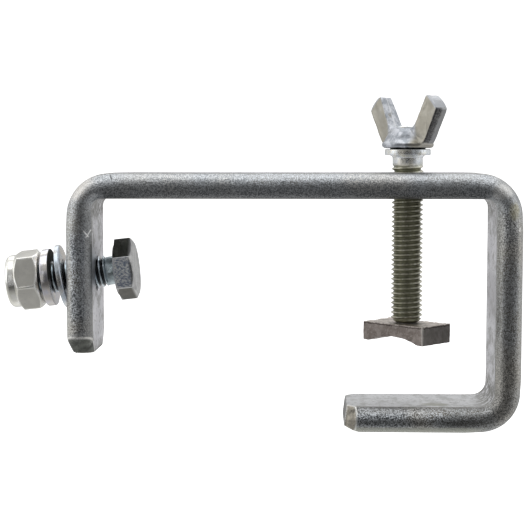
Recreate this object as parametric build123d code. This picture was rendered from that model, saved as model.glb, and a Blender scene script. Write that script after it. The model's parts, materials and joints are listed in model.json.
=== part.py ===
from build123d import *
import math
import os

# Screw clamp for hanging a lantern from a tube. A flat bar is bent into a hook; a winged screw in
# its top arm presses a swivelling saddle pad towards the lip, and a hexagon bolt with two washers
# and a lock nut hangs in the long leg to take the lantern's yoke.
#
# Millimetres. The origin is on the lip's seating face, under the screw. +Z runs up the screw,
# +X from the leg to the post, and Y across the bar.

# Bent flat bar
bar_width = 30.0
bar_thickness = 8.0
bar_edge_radius = 3.5
jaw_height = 64.0            # lip's seating face to the arm's underside
post_inner_x = 26.5
leg_outer_x = -105.5
leg_tip_z = 16.0
lip_tip_x = -20.0
arm_bend_radius = 5.5        # inside radius of both bends in the arm
lip_bend_radius = 4.5        # inside radius of the bend below the post
leg_clip = (5.0, 4.0)        # corners taken off the leg's end: along the bar, across it
lip_clip = (3.5, 4.0)
tip_bevel = (5.0, 2.5)       # sheared roll-over on the outer side of both ends: along, deep
yoke_hole_radius = 5.5
yoke_hole_z = 40.0
hole_chamfer = 0.3
cutter_overrun = 0.2         # how far a wedge cutter passes its corner, as a share of its legs
turned_ease = 0.3            # broken edge on turned steel

# Thread, M10 x 1.5, drawn as rings with the true flank angle
thread_pitch = 1.5
thread_radius = 4.94
thread_fit_radius = 5.0      # tapped holes are cut at this radius, which clears the crests
thread_flank = thread_pitch * 5 / 16
thread_crest = thread_pitch / 8
thread_root_radius = thread_radius - thread_flank * math.sqrt(3)

# Clamping screw
screw_tip_z = 25.0
screw_tip_radius = 3.5
screw_thread_start_z = 26.5
screw_thread_rings = 32
screw_neck_radius = 4.72
screw_collar_z = 77.3
screw_collar_radius = 7.15
screw_collar_height = 1.9
screw_land_radius = 5.5
spigot_radius = 3.0
spigot_bore_radius = 2.56    # blind hole in the tip for the pad's rivet
spigot_bore_depth = 8.0

# Winged head; outlines are (radius, height) points
head_base_z = 79.5
boss_flange = [(7.15, 79.5), (7.85, 79.9), (8.15, 80.5), (8.15, 81.1), (7.75, 81.6)]
boss_crown = [(4.8, 85.4), (4.4, 85.9)]
boss_top_z = boss_crown[-1][1]
peen_radius = 3.8
peen_height = 0.6
peen_dome = 0.7              # share of the peen's radius and height where its dome begins
wing_thickness = 4.8
wing_turn = -50.0            # about Z, degrees from +X
wing_edge_radius = 0.6
wing_setback = 0.3           # how far the wings' roots stay outside the spigot's bore
wing_outline = [
    (3.5, 81.0), (8.2, 80.6), (9.9, 82.3), (14.9, 91.3), (10.8, 97.0), (5.7, 86.4), (3.5, 84.6),
]
wing_corner_radii = [0.0, 1.2, 3.0, 1.0, 0.8, 1.6, 0.0]

# Saddle pad and its rivet
pad_length = 24.0
pad_breadth = 14.0
pad_top_z = 24.9
pad_height = 6.0
pad_turn = -43.0             # about Z, degrees from +X
pad_edge_radius = 0.6
saddle_radius = 25.0
saddle_depth = 2.0
rivet_radius = 2.5
rivet_head_radius = 4.0
rivet_head_height = 1.1
rivet_sink = 0.2             # how far the rivet's head sits above the saddle's crown
rivet_head_gap = 0.1
rivet_tail_gap = 0.5
rivet_ease = 0.25
rivet_clearance = 0.06

# Hexagon bolt, M10 x 30, and what is on it. Stations run along the bolt from the leg's middle
# plane; the bolt's head is on the plus side, towards the clamping screw.
bolt_droop = 6.5             # degrees the head is above the end
bolt_end = -20.0
bolt_thread_start = -19.4
bolt_thread_rings = 18
bolt_tip_radius = 3.6
bolt_neck_radius = 4.5
bolt_bearing = 10.0
washer_face = 0.4
bolt_head_height = 6.4
across_flats = 17.0
hex_face_ratio = 0.95        # turned circle on a hexagon's end face over its across-flats size
bolt_head_turn = 3.0         # about the bolt, degrees from a corner straight up

washer_station = -7.05
washer_outer_radius = 10.0
washer_inner_radius = 5.25
washer_thickness = 1.6
washer_lean = 3.7            # degrees further over than the bolt
washer_yaw = 2.0             # degrees turned away from the bar's front edge
washer_edge = 0.35

spring_station = -11.45
spring_outer_radius = 9.05
spring_inner_radius = 5.12
spring_thickness = 2.4
spring_edge = 0.25
spring_slit = 1.0
spring_slit_slant = 25.0     # degrees
spring_slit_turn = 140.0     # about the bolt, degrees from straight up

nut_bearing = -13.7
nut_hex_height = 7.4
nut_turn = -19.5             # about the bolt, degrees from a corner straight up
nut_collar = [(8.2, 9.3), (8.0, 10.05), (7.5, 10.5), (6.7, 10.65)]  # (radius, height) points
nut_collar_end = nut_collar[-1][1]
nut_mouth = 0.7              # countersink where the thread starts
nut_lip_radius = 5.6         # collar rolled in over the insert
nut_wall = 0.8
insert_outer_radius = 6.6
insert_height = 2.5
insert_ease = 0.2
insert_clearance = 0.05

yoke_axis = Vector(math.cos(math.radians(bolt_droop)), 0, math.sin(math.radians(bolt_droop)))
yoke_up = Vector(-yoke_axis.Z, 0, yoke_axis.X)
yoke_centre = Vector(leg_outer_x + bar_thickness / 2, 0, yoke_hole_z)


def turned(outline):
    """Solid of revolution about Z from (radius, height) points."""
    face = make_face(Plane.XZ * Polyline(*outline, close=True))
    return revolve(face, Axis.Z)


def thread_rings(start, count):
    """(radius, height) points of a thread's rings, going up from start."""
    points = []
    for ring in range(count):
        foot = start + ring * thread_pitch
        points.append((thread_root_radius, foot))
        points.append((thread_radius, foot + thread_flank))
        points.append((thread_radius, foot + thread_flank + thread_crest))
        points.append((thread_root_radius, foot + 2 * thread_flank + thread_crest))
    points.append((thread_root_radius, start + count * thread_pitch))
    return points


def through_hole(radius, length, chamfer):
    """Cutter along Z, centred on the origin, for a hole with both mouths broken."""
    half = length / 2
    flare = radius + 2 * chamfer
    return turned([
        (0, -half - chamfer), (flare, -half - chamfer), (radius, -half + chamfer),
        (radius, half - chamfer), (flare, half + chamfer), (0, half + chamfer),
    ])


def hexagon(height, chamfer_foot):
    """Hexagon along Z, corner on +X, with its top turned to 30 degrees, and its foot if asked."""
    corner = across_flats / math.sqrt(3)
    face = across_flats * hex_face_ratio / 2
    drop = (corner - face) * math.tan(math.radians(30))
    foot = [(face, 0), (corner, drop)] if chamfer_foot else [(corner, 0)]
    envelope = turned([(0, 0)] + foot + [(corner, height - drop), (face, height), (0, height)])
    return extrude(RegularPolygon(across_flats / 2, 6, major_radius=False), height) & envelope


def on_bolt(station, turn=0.0):
    """Place on the bolt: local Z along it towards the head, local X up, then turned about it."""
    plane = Plane(yoke_centre + yoke_axis * station, x_dir=yoke_up, z_dir=yoke_axis)
    return plane.location * Rotation(0, 0, turn)


def wedge(plane, face_offset, length, depth, half_span):
    """Cutter for one edge of a bar's end; plane X runs up the bar and plane Y to the cut face."""
    run = length * cutter_overrun
    rise = depth * cutter_overrun
    outline = Polyline(
        (-run, face_offset - depth - rise),
        (length + run, face_offset + rise),
        (-run, face_offset + rise),
        close=True,
    )
    return plane * extrude(make_face(outline), half_span, both=True)


def end_cutters(tip, along, outward, clip):
    """The two clipped corners and the rolled-over outer edge of one end of the bar."""
    across = along.cross(outward)
    cutters = []
    for side in (across, -across):
        corner = Plane(tip, x_dir=along, z_dir=along.cross(side))
        cutters.append(wedge(corner, bar_width / 2, clip[0], clip[1], bar_thickness))
    edge = Plane(tip, x_dir=along, z_dir=along.cross(outward))
    cutters.append(wedge(edge, bar_thickness / 2, tip_bevel[0], tip_bevel[1], bar_width))
    return cutters


def clamp_body():
    """The bent bar, with the tapped hole in its arm and the yoke bolt's hole in its leg."""
    half = bar_thickness / 2
    leg_tip = Vector(leg_outer_x + half, 0, leg_tip_z)
    lip_tip = Vector(lip_tip_x, 0, -half)
    arm_z = jaw_height + half
    post_x = post_inner_x + half
    arm_bend = arm_bend_radius + half
    lip_bend = lip_bend_radius + half
    path = FilletPolyline(
        leg_tip, (leg_tip.X, 0, arm_z), (post_x, 0, arm_z), (post_x, 0, -half), lip_tip,
        radius=[arm_bend, arm_bend, lip_bend],
    )
    section = RectangleRounded(bar_width, bar_thickness, bar_edge_radius)
    bar = sweep(Plane(leg_tip, x_dir=(0, 1, 0), z_dir=(0, 0, 1)) * section, path)
    bar -= end_cutters(leg_tip, Vector(0, 0, 1), Vector(-1, 0, 0), leg_clip)
    bar -= end_cutters(lip_tip, Vector(1, 0, 0), Vector(0, 0, -1), lip_clip)
    tapped_hole = through_hole(thread_fit_radius, bar_thickness, hole_chamfer)
    bar -= Pos(0, 0, arm_z) * tapped_hole
    yoke_hole = through_hole(yoke_hole_radius, bar_thickness, hole_chamfer)
    bar -= Pos(yoke_centre) * Rotation(0, 90, 0) * yoke_hole
    return bar


def clamp_screw():
    """Clamping screw: thread, neck, collar, and a spigot peened over in the winged head."""
    thread_end = screw_thread_start_z + screw_thread_rings * thread_pitch
    collar_top = screw_collar_z + screw_collar_height
    ease = turned_ease
    countersink_z = boss_top_z - (peen_radius - spigot_radius)
    outline = [(0, screw_tip_z), (screw_tip_radius, screw_tip_z)]
    outline += thread_rings(screw_thread_start_z, screw_thread_rings)
    outline += [
        (screw_neck_radius, thread_end + ease),
        (screw_neck_radius, screw_collar_z - ease),
        (screw_neck_radius + ease, screw_collar_z),
        (screw_collar_radius - ease, screw_collar_z),
        (screw_collar_radius, screw_collar_z + ease),
        (screw_collar_radius, collar_top - ease),
        (screw_collar_radius - ease, collar_top),
        (screw_land_radius, collar_top),
        (screw_land_radius, head_base_z),
        (spigot_radius, head_base_z),
        (spigot_radius, countersink_z),
        (peen_radius, boss_top_z),
        (peen_radius * peen_dome, boss_top_z + peen_height * peen_dome),
        (0, boss_top_z + peen_height),
    ]
    screw = turned(outline)
    bore = Cylinder(
        spigot_bore_radius, spigot_bore_depth, align=(Align.CENTER, Align.CENTER, Align.MIN)
    )
    return screw - Pos(0, 0, screw_tip_z) * bore


def wing_blade():
    """One wing in the XZ plane, leaning out to +X, with its edges rounded."""
    rounded = make_face(Plane.XZ * Polyline(*wing_outline, close=True))
    for point, radius in zip(wing_outline, wing_corner_radii):
        if radius > 0:
            corner = rounded.vertices().sort_by_distance((point[0], 0, point[1]))[0]
            rounded = fillet(corner, radius)
    blade = extrude(rounded, wing_thickness / 2, both=True)
    rims = blade.edges().filter_by(Plane.XZ)
    return fillet(rims, wing_edge_radius)


def wing_head():
    """Boss with two wings, bored for the screw's spigot."""
    countersink_z = boss_top_z - (peen_radius - spigot_radius)
    boss = turned(
        [(spigot_radius, head_base_z)] + boss_flange + boss_crown
        + [(peen_radius, boss_top_z), (spigot_radius, countersink_z)]
    )
    height = max(z for r, z in wing_outline) - head_base_z
    keep_clear = Pos(0, 0, head_base_z) * Cylinder(
        spigot_radius + wing_setback, height, align=(Align.CENTER, Align.CENTER, Align.MIN)
    )
    blade = wing_blade() - keep_clear
    head = boss + blade + Rotation(0, 0, 180) * blade
    return Rotation(0, 0, wing_turn) * head


def pressure_pad():
    """Saddle block that turns freely under the screw, counterbored for its rivet."""
    bottom_z = pad_top_z - pad_height
    crown_z = bottom_z + saddle_depth
    seat_z = crown_z + rivet_sink + rivet_head_height + rivet_head_gap
    block = Pos(0, 0, pad_top_z - pad_height / 2) * Box(pad_length, pad_breadth, pad_height)
    block = fillet(block.edges(), pad_edge_radius)
    saddle = Pos(0, 0, crown_z - saddle_radius) * Rotation(90, 0, 0) * Cylinder(
        saddle_radius, 2 * pad_breadth
    )
    upward = (Align.CENTER, Align.CENTER, Align.MIN)
    hole = Cylinder(rivet_radius + rivet_clearance, pad_height, align=upward)
    counterbore = Cylinder(rivet_head_radius + rivet_clearance, seat_z - bottom_z, align=upward)
    bores = Pos(0, 0, bottom_z) * (hole + counterbore)
    return Rotation(0, 0, pad_turn) * (block - saddle - bores)


def pad_rivet():
    """Headed pin that hangs the pad on the screw; both turn on it."""
    head_top = pad_top_z - pad_height + saddle_depth + rivet_sink + rivet_head_height
    tail_top = screw_tip_z + spigot_bore_depth - rivet_tail_gap
    ease = rivet_ease
    return turned([
        (0, head_top - rivet_head_height),
        (rivet_head_radius - ease, head_top - rivet_head_height),
        (rivet_head_radius, head_top - rivet_head_height + ease),
        (rivet_head_radius, head_top),
        (rivet_radius, head_top),
        (rivet_radius, tail_top - ease),
        (rivet_radius - ease, tail_top),
        (0, tail_top),
    ])


def hex_bolt():
    """Hexagon bolt threaded almost to its head."""
    face_radius = across_flats * hex_face_ratio / 2
    outline = [(0, bolt_end), (bolt_tip_radius, bolt_end)]
    outline += thread_rings(bolt_thread_start, bolt_thread_rings)
    outline += [
        (bolt_neck_radius, bolt_thread_start + bolt_thread_rings * thread_pitch + turned_ease),
        (bolt_neck_radius, bolt_bearing),
        (face_radius - turned_ease, bolt_bearing),
        (face_radius, bolt_bearing + washer_face),
        (0, bolt_bearing + washer_face),
    ]
    head = hexagon(bolt_head_height - washer_face, False)
    bolt = turned(outline) + Pos(0, 0, bolt_bearing + washer_face) * head
    return on_bolt(0, bolt_head_turn) * bolt


def plain_washer():
    """Flat washer, leaning on the bolt against the leg's outer face."""
    half = washer_thickness / 2
    ring = turned([
        (washer_inner_radius, -half),
        (washer_outer_radius, -half),
        (washer_outer_radius, half - washer_edge),
        (washer_outer_radius - washer_edge, half),
        (washer_inner_radius + washer_edge, half),
        (washer_inner_radius, half - washer_edge),
    ])
    lean = Rotation(washer_yaw, washer_lean, 0)
    return on_bolt(washer_station) * lean * ring


def spring_washer():
    """Split ring, cut through on a slant."""
    ring = Cylinder(spring_outer_radius, spring_thickness)
    ring -= Cylinder(spring_inner_radius, spring_thickness)
    ring = chamfer(ring.edges().filter_by(GeomType.CIRCLE), spring_edge)
    slit = Box(spring_outer_radius, spring_slit, 3 * spring_thickness)
    middle = (spring_inner_radius + spring_outer_radius) / 2
    ring -= Pos(middle, 0, 0) * Rotation(spring_slit_slant, 0, 0) * slit
    return on_bolt(spring_station, spring_slit_turn) * ring


def lock_nut():
    """Hexagon nut whose collar holds the insert, opening towards the bolt's end."""
    foot = [(0, nut_hex_height), (nut_collar[0][0], nut_hex_height)]
    collar = turned(foot + nut_collar + [(0, nut_collar_end)])
    insert_top = nut_collar_end - nut_wall
    bore = turned([
        (0, -nut_mouth),
        (thread_fit_radius + 2 * nut_mouth, -nut_mouth),
        (thread_fit_radius, nut_mouth),
        (thread_fit_radius, insert_top - insert_height),
        (insert_outer_radius, insert_top - insert_height),
        (insert_outer_radius, insert_top),
        (nut_lip_radius, nut_collar_end + insert_clearance),
        (0, nut_collar_end + insert_clearance),
    ])
    nut = hexagon(nut_hex_height, True) + collar - bore
    return on_bolt(nut_bearing, nut_turn) * Rotation(180, 0, 0) * nut


def nylon_insert():
    """Locking ring in the nut's collar."""
    top = nut_collar_end - nut_wall - insert_clearance
    foot = top - insert_height + 2 * insert_clearance
    outer = insert_outer_radius - insert_clearance
    ease = insert_ease
    ring = turned([
        (thread_fit_radius, foot + ease),
        (thread_fit_radius + ease, foot),
        (outer, foot),
        (outer, top),
        (thread_fit_radius + ease, top),
        (thread_fit_radius, top - ease),
    ])
    return on_bolt(nut_bearing) * Rotation(180, 0, 0) * ring


nodes = {
    "clamp_body": clamp_body(),
    "clamp_screw": clamp_screw(),
    "wing_head": wing_head(),
    "pad_rivet": pad_rivet(),
    "pressure_pad": pressure_pad(),
    "hex_bolt": hex_bolt(),
    "plain_washer": plain_washer(),
    "spring_washer": spring_washer(),
    "lock_nut": lock_nut(),
    "nylon_insert": nylon_insert(),
}

os.makedirs("parts", exist_ok=True)
for node_name, shape in nodes.items():
    export_step(shape, f"parts/{node_name}.step")
    box = shape.bounding_box()
    print(f"{node_name:14s} {shape.volume:9.1f} mm3  {box.min}  {box.max}")
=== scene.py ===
import json
import math

import bmesh
import bpy
import numpy as np
from mathutils import Matrix, Vector, noise


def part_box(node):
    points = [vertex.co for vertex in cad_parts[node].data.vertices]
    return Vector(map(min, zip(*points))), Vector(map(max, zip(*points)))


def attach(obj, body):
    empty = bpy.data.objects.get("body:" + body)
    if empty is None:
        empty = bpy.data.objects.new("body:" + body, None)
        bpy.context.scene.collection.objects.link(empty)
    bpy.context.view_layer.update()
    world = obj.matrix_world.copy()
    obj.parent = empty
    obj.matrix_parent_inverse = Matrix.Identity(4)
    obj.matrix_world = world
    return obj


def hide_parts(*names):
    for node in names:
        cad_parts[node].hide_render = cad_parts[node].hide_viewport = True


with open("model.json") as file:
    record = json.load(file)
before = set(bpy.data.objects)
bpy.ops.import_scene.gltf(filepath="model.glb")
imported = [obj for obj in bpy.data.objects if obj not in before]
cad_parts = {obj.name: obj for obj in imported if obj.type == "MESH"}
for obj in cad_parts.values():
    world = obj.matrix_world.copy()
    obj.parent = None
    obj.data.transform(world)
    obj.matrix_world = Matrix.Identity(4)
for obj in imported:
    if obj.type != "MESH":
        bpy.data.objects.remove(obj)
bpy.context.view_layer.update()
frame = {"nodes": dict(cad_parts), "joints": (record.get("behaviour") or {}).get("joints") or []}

# Hook clamp of bent zinc-plated bar. Lengths here are millimetres; meshes are made in metres.
MM = 0.001

BAR_THICKNESS = 8.0
BAR_HALF = BAR_THICKNESS / 2
BAR_EDGE_DEPTH = 3.3         # how far the rolled edge reaches in from the bar's side
EDGE_RADIUS = (BAR_HALF**2 + BAR_EDGE_DEPTH**2) / (2 * BAR_EDGE_DEPTH)
ARM_BEND_RADIUS = 5.5        # inside radii
LIP_BEND_RADIUS = 4.5
LEG_TIP_Z = 16.0
LIP_TIP_X = -20.0
LEG_CLIP = (5.0, 4.0)        # corners taken off: along the bar, across it
LIP_CLIP = (3.5, 4.0)
LIP_SLANT = 1.0              # how much shorter the lip is on its inner face
LEG_TIP = (LEG_CLIP, (4.6, 1.9), 0.0)          # clip, rolled-over outer edge (along, deep), slant
LIP_TIP = (LIP_CLIP, (5.0, 1.8), LIP_SLANT)
CLIP_FOLLOW = 0.8            # how far the cut corners follow the roll of the edge
TIP_ROUND = 0.3
EDGE_STEPS = 19              # points round one rolled edge
TIP_REACH = 12.0             # length of bar that the tips' cuts can touch
TIP_LIFT = 0.09              # how far the rounding's last step is drawn in and set back
TIP_INSETS = (3.9, 3.2, 2.5, 1.8, 1.2, 0.7, TIP_ROUND, TIP_LIFT)
SCREW_HOLE_RADIUS = 5.0
YOKE_HOLE_RADIUS = 5.5
HOLE_CHAMFER = 0.35
BEND_FLARE = 0.035           # how much wider the bar is on the inside of a bend
BEND_THINNING = 0.04
INNER_CORNERS = (3.0, 3.3, 4.5)   # radii pressed into the hollow side of the three bends

PITCH = 1.5
THREAD_RADIUS = 4.92
THREAD_ROOT = 4.12
SCREW_NECK = (74.5, 4.72)    # height where the thread ends, radius above it
SCREW_COLLAR = (77.3, 79.2, 7.15)
SCREW_LAND = (79.6, 5.5)
PEEN_RADIUS = 3.8
WING_TURN = -50.0            # degrees about the screw
WING_CAP = (1.05, 106.2)     # slope and height of the line below the wings' end faces
WING_INNER = (0.442, 0.897, 32.85)   # lines along the wings' edges: parts of the slope, offset
WING_OUTER = (0.890, 0.455, -28.95)
PAD_TURN = -43.0
PAD_SIZE = (24.0, 14.0)
SADDLE = (25.0, 2.0)         # radius, depth

ACROSS_FLATS = 17.0
HEX_FACE_RADIUS = 8.07
HEX_CORNER_ROUND = 0.35

BOLT_SPAN = (-20.0, 16.4)    # along the bolt from the leg's middle plane
BOLT_THREAD_END = 7.6
BOLT_BEARING = 10.0
BOLT_TURN = 3.0
WASHER_STATION = -7.05       # stations are the pieces' places along the bolt
WASHER_LEAN = 3.7
WASHER_YAW = 2.0
SPRING_STATION = -11.45
SPRING_TURN = -100.0         # puts the split behind
NUT_BEARING = -13.7
NUT_HEIGHT = (7.4, 10.65)    # of the hexagon, of the whole nut
NUT_COLLAR = 8.3
NUT_TURN = -19.5
NUT_CHAMFER = math.radians(36)
BOLT_CHAMFER = math.radians(30)


# ---------------------------------------------------------------- frame facts

def box_mm(node):
    """A CAD node's lowest and highest corners in millimetres."""
    low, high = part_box(node)
    return np.array(low) / MM, np.array(high) / MM


def joint(name):
    """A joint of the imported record."""
    return next(j for j in frame["joints"] if j["name"] == name)


BAR_LOW, BAR_HIGH = box_mm("clamp_body")
BAR_HALF_WIDTH = (BAR_HIGH[1] - BAR_LOW[1]) / 2
SCREW_LOW, SCREW_HIGH = box_mm("clamp_screw")
HEAD_LOW = box_mm("wing_head")[0]
PAD_LOW, PAD_HIGH = box_mm("pressure_pad")
YOKE_CENTRE = Vector(joint("bolt_tilt")["pos_m"])
YOKE_AXIS = Vector(joint("bolt_slide")["axis"]).normalized()


# ---------------------------------------------------------------- mesh helpers

def finish_mesh(obj, sharp_degrees=40.0):
    """Smooth shading, with edges sharper than the angle kept crisp."""
    obj.data.polygons.foreach_set("use_smooth", [True] * len(obj.data.polygons))
    obj.data.set_sharp_from_angle(angle=math.radians(sharp_degrees))
    obj.data.update()
    return obj


def add_object(name, vertices, faces, place=Matrix.Identity(4)):
    """Object from millimetre vertices, with coincident points merged and normals outward."""
    mesh = bpy.data.meshes.new(name)
    mesh.from_pydata((np.asarray(vertices) * MM).tolist(), [], faces)
    work = bmesh.new()
    work.from_mesh(mesh)
    bmesh.ops.remove_doubles(work, verts=work.verts, dist=2e-3 * MM)
    bmesh.ops.dissolve_degenerate(work, dist=1e-3 * MM, edges=work.edges)
    bmesh.ops.recalc_face_normals(work, faces=work.faces)
    work.to_mesh(mesh)
    work.free()
    obj = bpy.data.objects.new(name, mesh)
    bpy.context.scene.collection.objects.link(obj)
    obj.matrix_world = place
    return finish_mesh(obj)


def modify(obj, kind, **settings):
    """Adds a modifier with its settings."""
    modifier = obj.modifiers.new(kind.lower(), kind)
    for key, value in settings.items():
        setattr(modifier, key, value)


def apply_modifiers(obj, sharp_degrees=40.0):
    """Bakes the modifiers into the mesh."""
    graph = bpy.context.evaluated_depsgraph_get()
    graph.update()
    mesh = bpy.data.meshes.new_from_object(obj.evaluated_get(graph))
    obj.modifiers.clear()
    obj.data = mesh
    return finish_mesh(obj, sharp_degrees)


def combine(obj, other, operation):
    """Boolean of two objects; the second is used up."""
    modify(obj, "BOOLEAN", operation=operation, object=other, solver="EXACT")
    apply_modifiers(obj)
    bpy.data.objects.remove(other)


def turn_mesh(obj, radians):
    """Turns the mesh about the object's Z."""
    obj.data.transform(Matrix.Rotation(radians, 4, "Z"))


def displace(obj, shift):
    """Moves vertices by shift(point, normal), in millimetres."""
    points, normals = np.empty((2, len(obj.data.vertices) * 3))
    obj.data.vertices.foreach_get("co", points)
    obj.data.vertices.foreach_get("normal", normals)
    points, normals = points.reshape(-1, 3) / MM, normals.reshape(-1, 3)
    moved = [point + shift(point, normal) for point, normal in zip(points, normals)]
    obj.data.vertices.foreach_set("co", (np.array(moved) * MM).ravel())
    obj.data.update()


def roughen_surface(obj, voxel_mm, iterations, shift, turn_degrees):
    """Remeshes finely, eases the edges, moves the surface by shift and turns the mesh about Z."""
    modify(obj, "REMESH", mode="VOXEL", voxel_size=voxel_mm * MM)
    modify(obj, "SMOOTH", factor=0.5, iterations=iterations)
    apply_modifiers(obj, 80.0)
    displace(obj, shift)
    turn_mesh(obj, math.radians(turn_degrees))
    return obj


def even_angles(count):
    """A full turn, first and last the same direction."""
    return np.linspace(0.0, 2 * math.pi, count + 1)


def hex_angles():
    """A full turn with extra directions where the hexagon's rounded corners are."""
    offsets = [0.0, 0.7, 1.4, 2.2, 3.2, 5.0, 8.0, 12.0, 17.0, 23.0]
    one_side = offsets + [30.0] + [60.0 - a for a in reversed(offsets)][:-1]
    full = [side * 60.0 + a for side in range(6) for a in one_side] + [360.0]
    return np.radians(full)


def hex_radius(angles):
    """Radius of a hexagon with a rounded corner on +X, in each direction."""
    apothem = ACROSS_FLATS / 2
    off_corner = np.abs((angles + math.pi / 6) % (math.pi / 3) - math.pi / 6)
    flat = apothem / np.cos(math.pi / 6 - off_corner)
    centre = (apothem - HEX_CORNER_ROUND) / math.cos(math.pi / 6)
    reach = np.clip(HEX_CORNER_ROUND**2 - (centre * np.sin(off_corner)) ** 2, 0, None)
    corner = centre * np.cos(off_corner) + np.sqrt(reach)
    on_corner = off_corner < HEX_CORNER_ROUND * math.tan(math.pi / 6) / apothem
    return np.where(on_corner, np.minimum(flat, corner), flat)


def sharp(points, angles):
    """Profile rows; a point is (radius, height), each one number or one per direction."""
    return [np.array([np.broadcast_to(part, angles.shape) for part in point], float) for point in points]


def rounded(points, radius, angles, steps=3):
    """Profile rows with each inner corner eased."""
    rows = sharp(points, angles)
    eased = [rows[0]]
    for before, corner, after in zip(rows, rows[1:], rows[2:]):
        arms = [side - corner for side in (before, after)]
        lengths = [np.linalg.norm(arm, axis=0) for arm in arms]
        reach = np.minimum(radius, 0.45 * np.minimum(*lengths))
        start, end = (corner + arm / np.maximum(length, 1e-9) * reach for arm, length in zip(arms, lengths))
        for t in np.linspace(0, 1, steps + 1):
            eased.append((1 - t) ** 2 * start + 2 * t * (1 - t) * corner + t**2 * end)
    eased.append(rows[-1])
    return eased


def thread_rows(start, end, start_radius, end_radius, angles, start_slope=1.2, fade=1.1, sign=1):
    """Rows of a right-hand thread; it grows out of a chamfer and runs out into the end radius."""
    depth = (THREAD_RADIUS - THREAD_ROOT) * sign
    form = [(0.0, 0.0), (0.10, 0.0), (0.17, 0.1), (0.42, 0.9), (0.47, 1.0), (0.58, 1.0),
            (0.63, 0.9), (0.88, 0.1), (0.95, 0.0)]
    base = THREAD_ROOT if sign > 0 else SCREW_HOLE_RADIUS + 0.05
    rise = PITCH * angles / (2 * math.pi)
    rows = []
    for turn in range(-1, int((end - start) / PITCH) + 2):
        for offset, height in form:
            z = np.clip(start + (turn + offset) * PITCH + rise, start, end)
            radius = base + depth * height + 0 * z
            keep = np.clip((end - z) / fade, 0, 1)
            radius = end_radius + (radius - end_radius) * keep
            if sign > 0:
                radius = np.minimum(radius, start_radius + (z - start) * start_slope)
            else:
                grow = np.clip((z - start) / fade, 0, 1)
                radius = start_radius + (radius - start_radius) * grow
            rows.append(np.array([radius, z]))
    return rows


def grid_faces(count, width, closed_rows=False, closed_columns=True):
    """Quads between neighbouring points of a grid."""
    faces = []
    for row in range(count if closed_rows else count - 1):
        a, b = row * width, (row + 1) % count * width
        for column in range(width if closed_columns else width - 1):
            after = (column + 1) % width
            faces.append((a + column, a + after, b + after, b + column))
    return faces


def lathe(name, rows, angles, closed=False, place=Matrix.Identity(4)):
    """Mesh of rows turned about Z; a closed profile makes a ring."""
    grid = np.array(rows)
    radius, height = grid[:, 0, :], grid[:, 1, :]
    vertices = np.stack([radius * np.cos(angles), radius * np.sin(angles), height], axis=-1)
    return add_object(name, vertices.reshape(-1, 3), grid_faces(*radius.shape, closed, False), place)


def smooth_step(edge_low, edge_high, value):
    """0 below the first edge, 1 above the second, eased between."""
    t = np.clip((value - edge_low) / (edge_high - edge_low), 0, 1)
    return t * t * (3 - 2 * t)


# ---------------------------------------------------------------- bent bar

def corner_press(angle, bend_radius, corner_radius):
    """How far a bend's inner face is pushed outward to make a sharper corner, at an angle round it."""
    shift = bend_radius - corner_radius
    across = min(angle, math.pi / 2 - angle)
    if math.tan(across) < shift / bend_radius:
        return bend_radius / math.cos(across) - bend_radius
    toward = shift * (math.cos(angle) + math.sin(angle))
    return toward + math.sqrt(toward**2 - 2 * shift**2 + corner_radius**2) - bend_radius


def bar_stations():
    """Points, directions, bend and press amounts along the bar's middle line, from the leg's tip."""
    leg_x, post_x = BAR_LOW[0] + BAR_HALF, BAR_HIGH[0] - BAR_HALF
    arm_z, lip_z = BAR_HIGH[2] - BAR_HALF, BAR_LOW[2] + BAR_HALF
    corners = np.array([
        (leg_x, LEG_TIP_Z), (leg_x, arm_z), (post_x, arm_z), (post_x, lip_z), (LIP_TIP_X, lip_z)])
    runs = [run / np.linalg.norm(run) for run in np.diff(corners, axis=0)]
    inside = [ARM_BEND_RADIUS, ARM_BEND_RADIUS, LIP_BEND_RADIUS]
    tip_steps = [0.0, 0.5, 1.0, 1.5, 2.0, 2.5, 3.0, 3.6, 4.2, 4.8, 5.4, 6.2, 7.0]
    stations = []
    start = corners[0]
    for index, along in enumerate(runs):
        radius = inside[index] + BAR_HALF if index < 3 else 0.0
        stop = corners[index + 1] - along * radius
        length = np.linalg.norm(stop - start)
        first = tip_steps if index == 0 else [0.0]
        last = [length - step for step in reversed(tip_steps)] if index == 3 else []
        middle = np.arange(first[-1] + 1.4, (last[0] if last else length) - 0.7, 1.5).tolist()
        for distance in first + middle + last:
            ends = [d for d, used in ((distance, index > 0), (length - distance, index < 3)) if used]
            bend = float(1 - smooth_step(-1.0, 5.0, min(ends)))
            stations.append((start + along * distance, along, bend, 0.0))
        if index == 3:
            break
        after = runs[index + 1]
        centre = stop + after * radius
        for angle in np.linspace(0, math.pi / 2, 17)[:-1]:
            direction = along * math.cos(angle) + after * math.sin(angle)
            outward = np.array([-direction[1], direction[0]])
            press = corner_press(angle, inside[index], INNER_CORNERS[index])
            stations.append((centre + outward * radius, direction, 1.0, press))
        start = centre + np.array([-after[1], after[0]]) * radius
    return stations


def bar_section(inset=0.0):
    """(across, outward) points of the bar's section, or of a copy of it drawn in by an inset."""
    sweep = math.asin(BAR_HALF / EDGE_RADIUS)
    centre, flat = BAR_HALF_WIDTH - EDGE_RADIUS, BAR_HALF_WIDTH - BAR_EDGE_DEPTH
    right = [(centre + EDGE_RADIUS * math.cos(a), EDGE_RADIUS * math.sin(a))
             for a in np.linspace(-sweep, sweep, EDGE_STEPS)]
    across = np.linspace(-flat, flat, 25)[1:-1]
    top, bottom = [(y, BAR_HALF) for y in across[::-1]], [(y, -BAR_HALF) for y in across]
    section = np.array(right + top + [(-y, -n) for y, n in right] + bottom)
    return section * ((BAR_HALF_WIDTH - inset) / BAR_HALF_WIDTH, (BAR_HALF - inset) / BAR_HALF)


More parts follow.
